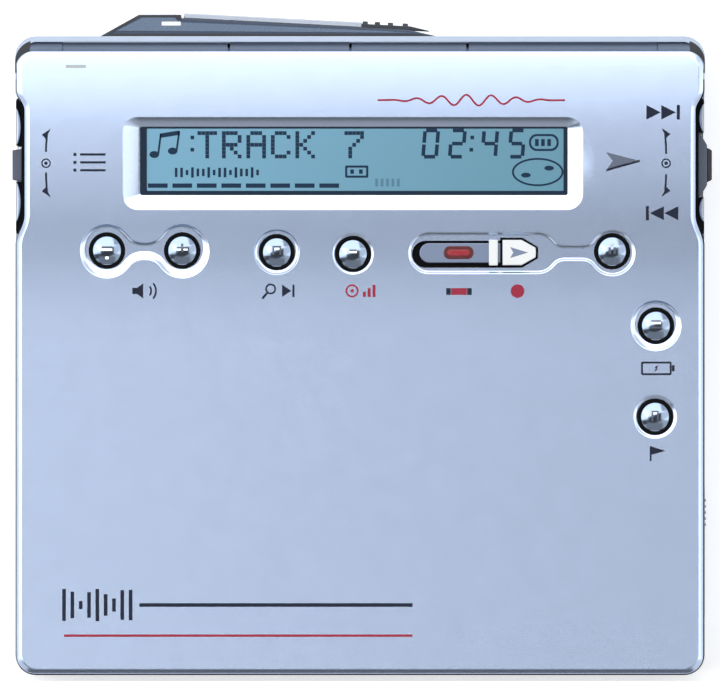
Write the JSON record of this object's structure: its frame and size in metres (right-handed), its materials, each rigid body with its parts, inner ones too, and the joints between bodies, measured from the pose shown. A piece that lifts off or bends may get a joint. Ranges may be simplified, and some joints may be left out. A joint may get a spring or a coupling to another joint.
{
  "type": "portable minidisc recorder",
  "caption": "Pocket disc recorder: a hinged satin lid with a wide recessed display, round chrome keys and a sliding record switch, over a silver belt with side levers.",
  "frame": {"origin": "centre of the flat underside, on the plane that the recorder rests on", "axes": "+X to the right side with the control lever, +Y to the hinge side, +Z out of the lid"},
  "size_m": [0.0801, 0.0758, 0.0173],
  "materials": {
    "lid_aluminium": "satin pearl anodised aluminium",
    "belt_silver": "satin silver paint",
    "cover_silver": "satin anodised aluminium",
    "steel": "bare sheet steel",
    "pin_steel": "ground steel",
    "bezel_chrome": "polished plating",
    "key_chrome": "domed bright plating",
    "guard_plastic": "dark blue-grey moulded plastic",
    "grip_plastic": "dark ribbed plastic",
    "bar_silver": "satin silver",
    "lever_dark": "dark grey plastic",
    "lever_grey": "grey plastic",
    "board_green": "solder-masked circuit board",
    "chip_black": "moulded packages",
    "screw_steel": "blackened steel",
    "motor_steel": "plated motor cans",
    "cell_wrap": "wrapped cell can",
    "socket_black": "black socket bodies",
    "window_clear": "clear cover over the reflective display",
    "liner_black": "black inner liner",
    "slider_grey": "satin grey-blue plastic",
    "lens_red": "translucent red",
    "cap_white": "off-white plastic",
    "sled_dark": "dark cast sled",
    "lens_blue": "coated lens"
  },
  "bodies": {
    "root": {"bottom_cover": "cover_silver", "side_belt": "belt_silver", "hinge_bracket": "steel", "hinge_pin": "pin_steel", "rear_guard": "guard_plastic", "bezel_left": "bezel_chrome", "bezel_right": "bezel_chrome", "main_board": "board_green", "board_chips": "chip_black", "mechanism_deck": "steel", "screws": "screw_steel", "spindle_motor": "motor_steel", "pickup_rails": "pin_steel", "sled_motor": "motor_steel", "battery_tunnel": "steel", "battery_cell": "cell_wrap", "headphone_jack": "socket_black", "line_in_jack": "socket_black", "mic_jack": "socket_black", "dc_socket": "socket_black"},
    "lid": {"lid_shell": "lid_aluminium", "lcd_window": "window_clear", "lcd_module": "chip_black", "button_board": "board_green", "lid_liner": "liner_black", "lid_screws": "screw_steel", "lid_leaf": "steel", "lid_claws": "steel"},
    "holder": {"holder_top": "steel", "holder_left": "steel", "holder_right": "steel"},
    "head": {"head_arm": "steel"},
    "vol_down": {"key_vol_down": "key_chrome"},
    "vol_up": {"key_vol_up": "key_chrome"},
    "search": {"key_search": "key_chrome"},
    "mode": {"key_mode": "key_chrome"},
    "pause": {"key_pause": "key_chrome"},
    "stop": {"key_stop": "key_chrome"},
    "mark": {"key_mark": "key_chrome"},
    "rec": {"rec_slider": "slider_grey", "rec_lens": "lens_red", "rec_cap": "cap_white"},
    "open_slide": {"open_bar": "bar_silver", "open_grip": "grip_plastic"},
    "latch": {"latch_bars": "steel"},
    "jog_push": {"jog_carrier": "lever_dark"},
    "jog": {"jog_lever": "lever_dark"},
    "ctrl_push": {"ctrl_carrier": "lever_dark"},
    "ctrl": {"ctrl_lever": "lever_grey", "ctrl_cap": "lever_dark"},
    "door": {"battery_door": "belt_silver"},
    "hold": {"hold_switch": "lever_dark"},
    "spindle": {"turntable": "motor_steel"},
    "sled": {"pickup_sled": "sled_dark", "objective_lens": "lens_blue"},
    "screw": {"leadscrew": "pin_steel"}
  },
  "joints": [
    {"name": "lid_hinge", "type": "hinge", "parent": "root", "child": "lid", "pos_m": [0, 0.03545, 0.01335], "axis": [-1, 0, 0], "range_deg": [0, 35]},
    {"name": "holder_lift", "type": "hinge", "parent": "root", "child": "holder", "pos_m": [0, 0.03545, 0.01335], "axis": [-1, 0, 0], "range_deg": [0, 21]},
    {"name": "head_slide", "type": "slide", "parent": "holder", "child": "head", "axis": [1, 0, 0], "range_m": [0, 0.014]},
    {"name": "rec_slide", "type": "slide", "parent": "lid", "child": "rec", "axis": [1, 0, 0], "range_m": [0, 0.0017], "stiffness_N_per_m": 200},
    {"name": "open_slide", "type": "slide", "parent": "root", "child": "open_slide", "axis": [0.9987, -0.0516, 0], "range_m": [0, 0.0025], "stiffness_N_per_m": 200},
    {"name": "latch_slide", "type": "slide", "parent": "root", "child": "latch", "axis": [0, 1, 0], "range_m": [0, 0.0012]},
    {"name": "jog_press", "type": "slide", "parent": "root", "child": "jog_push", "axis": [1, 0, 0], "range_m": [0, 0.00035], "stiffness_N_per_m": 300},
    {"name": "jog_turn", "type": "hinge", "parent": "jog_push", "child": "jog", "pos_m": [-0.0345, 0.0224, 0.004], "axis": [0, 0, 1], "range_deg": [-8, 8], "stiffness_Nm_per_rad": 0.01},
    {"name": "control_press", "type": "slide", "parent": "root", "child": "ctrl_push", "axis": [-1, 0, 0], "range_m": [0, 0.00035], "stiffness_N_per_m": 300},
    {"name": "control_turn", "type": "hinge", "parent": "ctrl_push", "child": "ctrl", "pos_m": [0.0345, 0.0224, 0.004], "axis": [0, 0, 1], "range_deg": [-8, 8], "stiffness_Nm_per_rad": 0.01},
    {"name": "battery_door_hinge", "type": "hinge", "parent": "root", "child": "door", "pos_m": [0.03875, -0.0317, 0.004], "axis": [0, 0, -1], "range_deg": [0, 90]},
    {"name": "hold_slide", "type": "slide", "parent": "root", "child": "hold", "axis": [0, 1, 0], "range_m": [0, 0.002]},
    {"name": "spindle_spin", "type": "hinge", "parent": "root", "child": "spindle", "pos_m": [0, -0.0006, 0.006], "axis": [0, 0, 1], "continuous": true},
    {"name": "pickup_slide", "type": "slide", "parent": "root", "child": "sled", "axis": [1, 0, 0], "range_m": [0, 0.014]},
    {"name": "leadscrew_spin", "type": "hinge", "parent": "root", "child": "screw", "pos_m": [0.016, 0.0102, 0.0043], "axis": [1, 0, 0], "range_deg": [-5, 4210]},
    {"name": "key_vol_down_press", "type": "slide", "parent": "lid", "child": "vol_down", "axis": [0, 0, -1], "range_m": [0, 0.00035], "stiffness_N_per_m": 300},
    {"name": "key_vol_up_press", "type": "slide", "parent": "lid", "child": "vol_up", "axis": [0, 0, -1], "range_m": [0, 0.00035], "stiffness_N_per_m": 300},
    {"name": "key_search_press", "type": "slide", "parent": "lid", "child": "search", "axis": [0, 0, -1], "range_m": [0, 0.00035], "stiffness_N_per_m": 300},
    {"name": "key_mode_press", "type": "slide", "parent": "lid", "child": "mode", "axis": [0, 0, -1], "range_m": [0, 0.00035], "stiffness_N_per_m": 300},
    {"name": "key_pause_press", "type": "slide", "parent": "lid", "child": "pause", "axis": [0, 0, -1], "range_m": [0, 0.00035], "stiffness_N_per_m": 300},
    {"name": "key_stop_press", "type": "slide", "parent": "lid", "child": "stop", "axis": [0, 0, -1], "range_m": [0, 0.00035], "stiffness_N_per_m": 300},
    {"name": "key_mark_press", "type": "slide", "parent": "lid", "child": "mark", "axis": [0, 0, -1], "range_m": [0, 0.00035], "stiffness_N_per_m": 300}
  ],
  "couplings": [
    {"joint": "holder_lift", "follows": "lid_hinge", "ratio": 0.6},
    {"joint": "head_slide", "follows": "pickup_slide", "ratio": 1},
    {"joint": "latch_slide", "follows": "open_slide", "ratio": 0.48},
    {"joint": "leadscrew_spin", "follows": "pickup_slide", "rad_per_m": 5236}
  ]
}
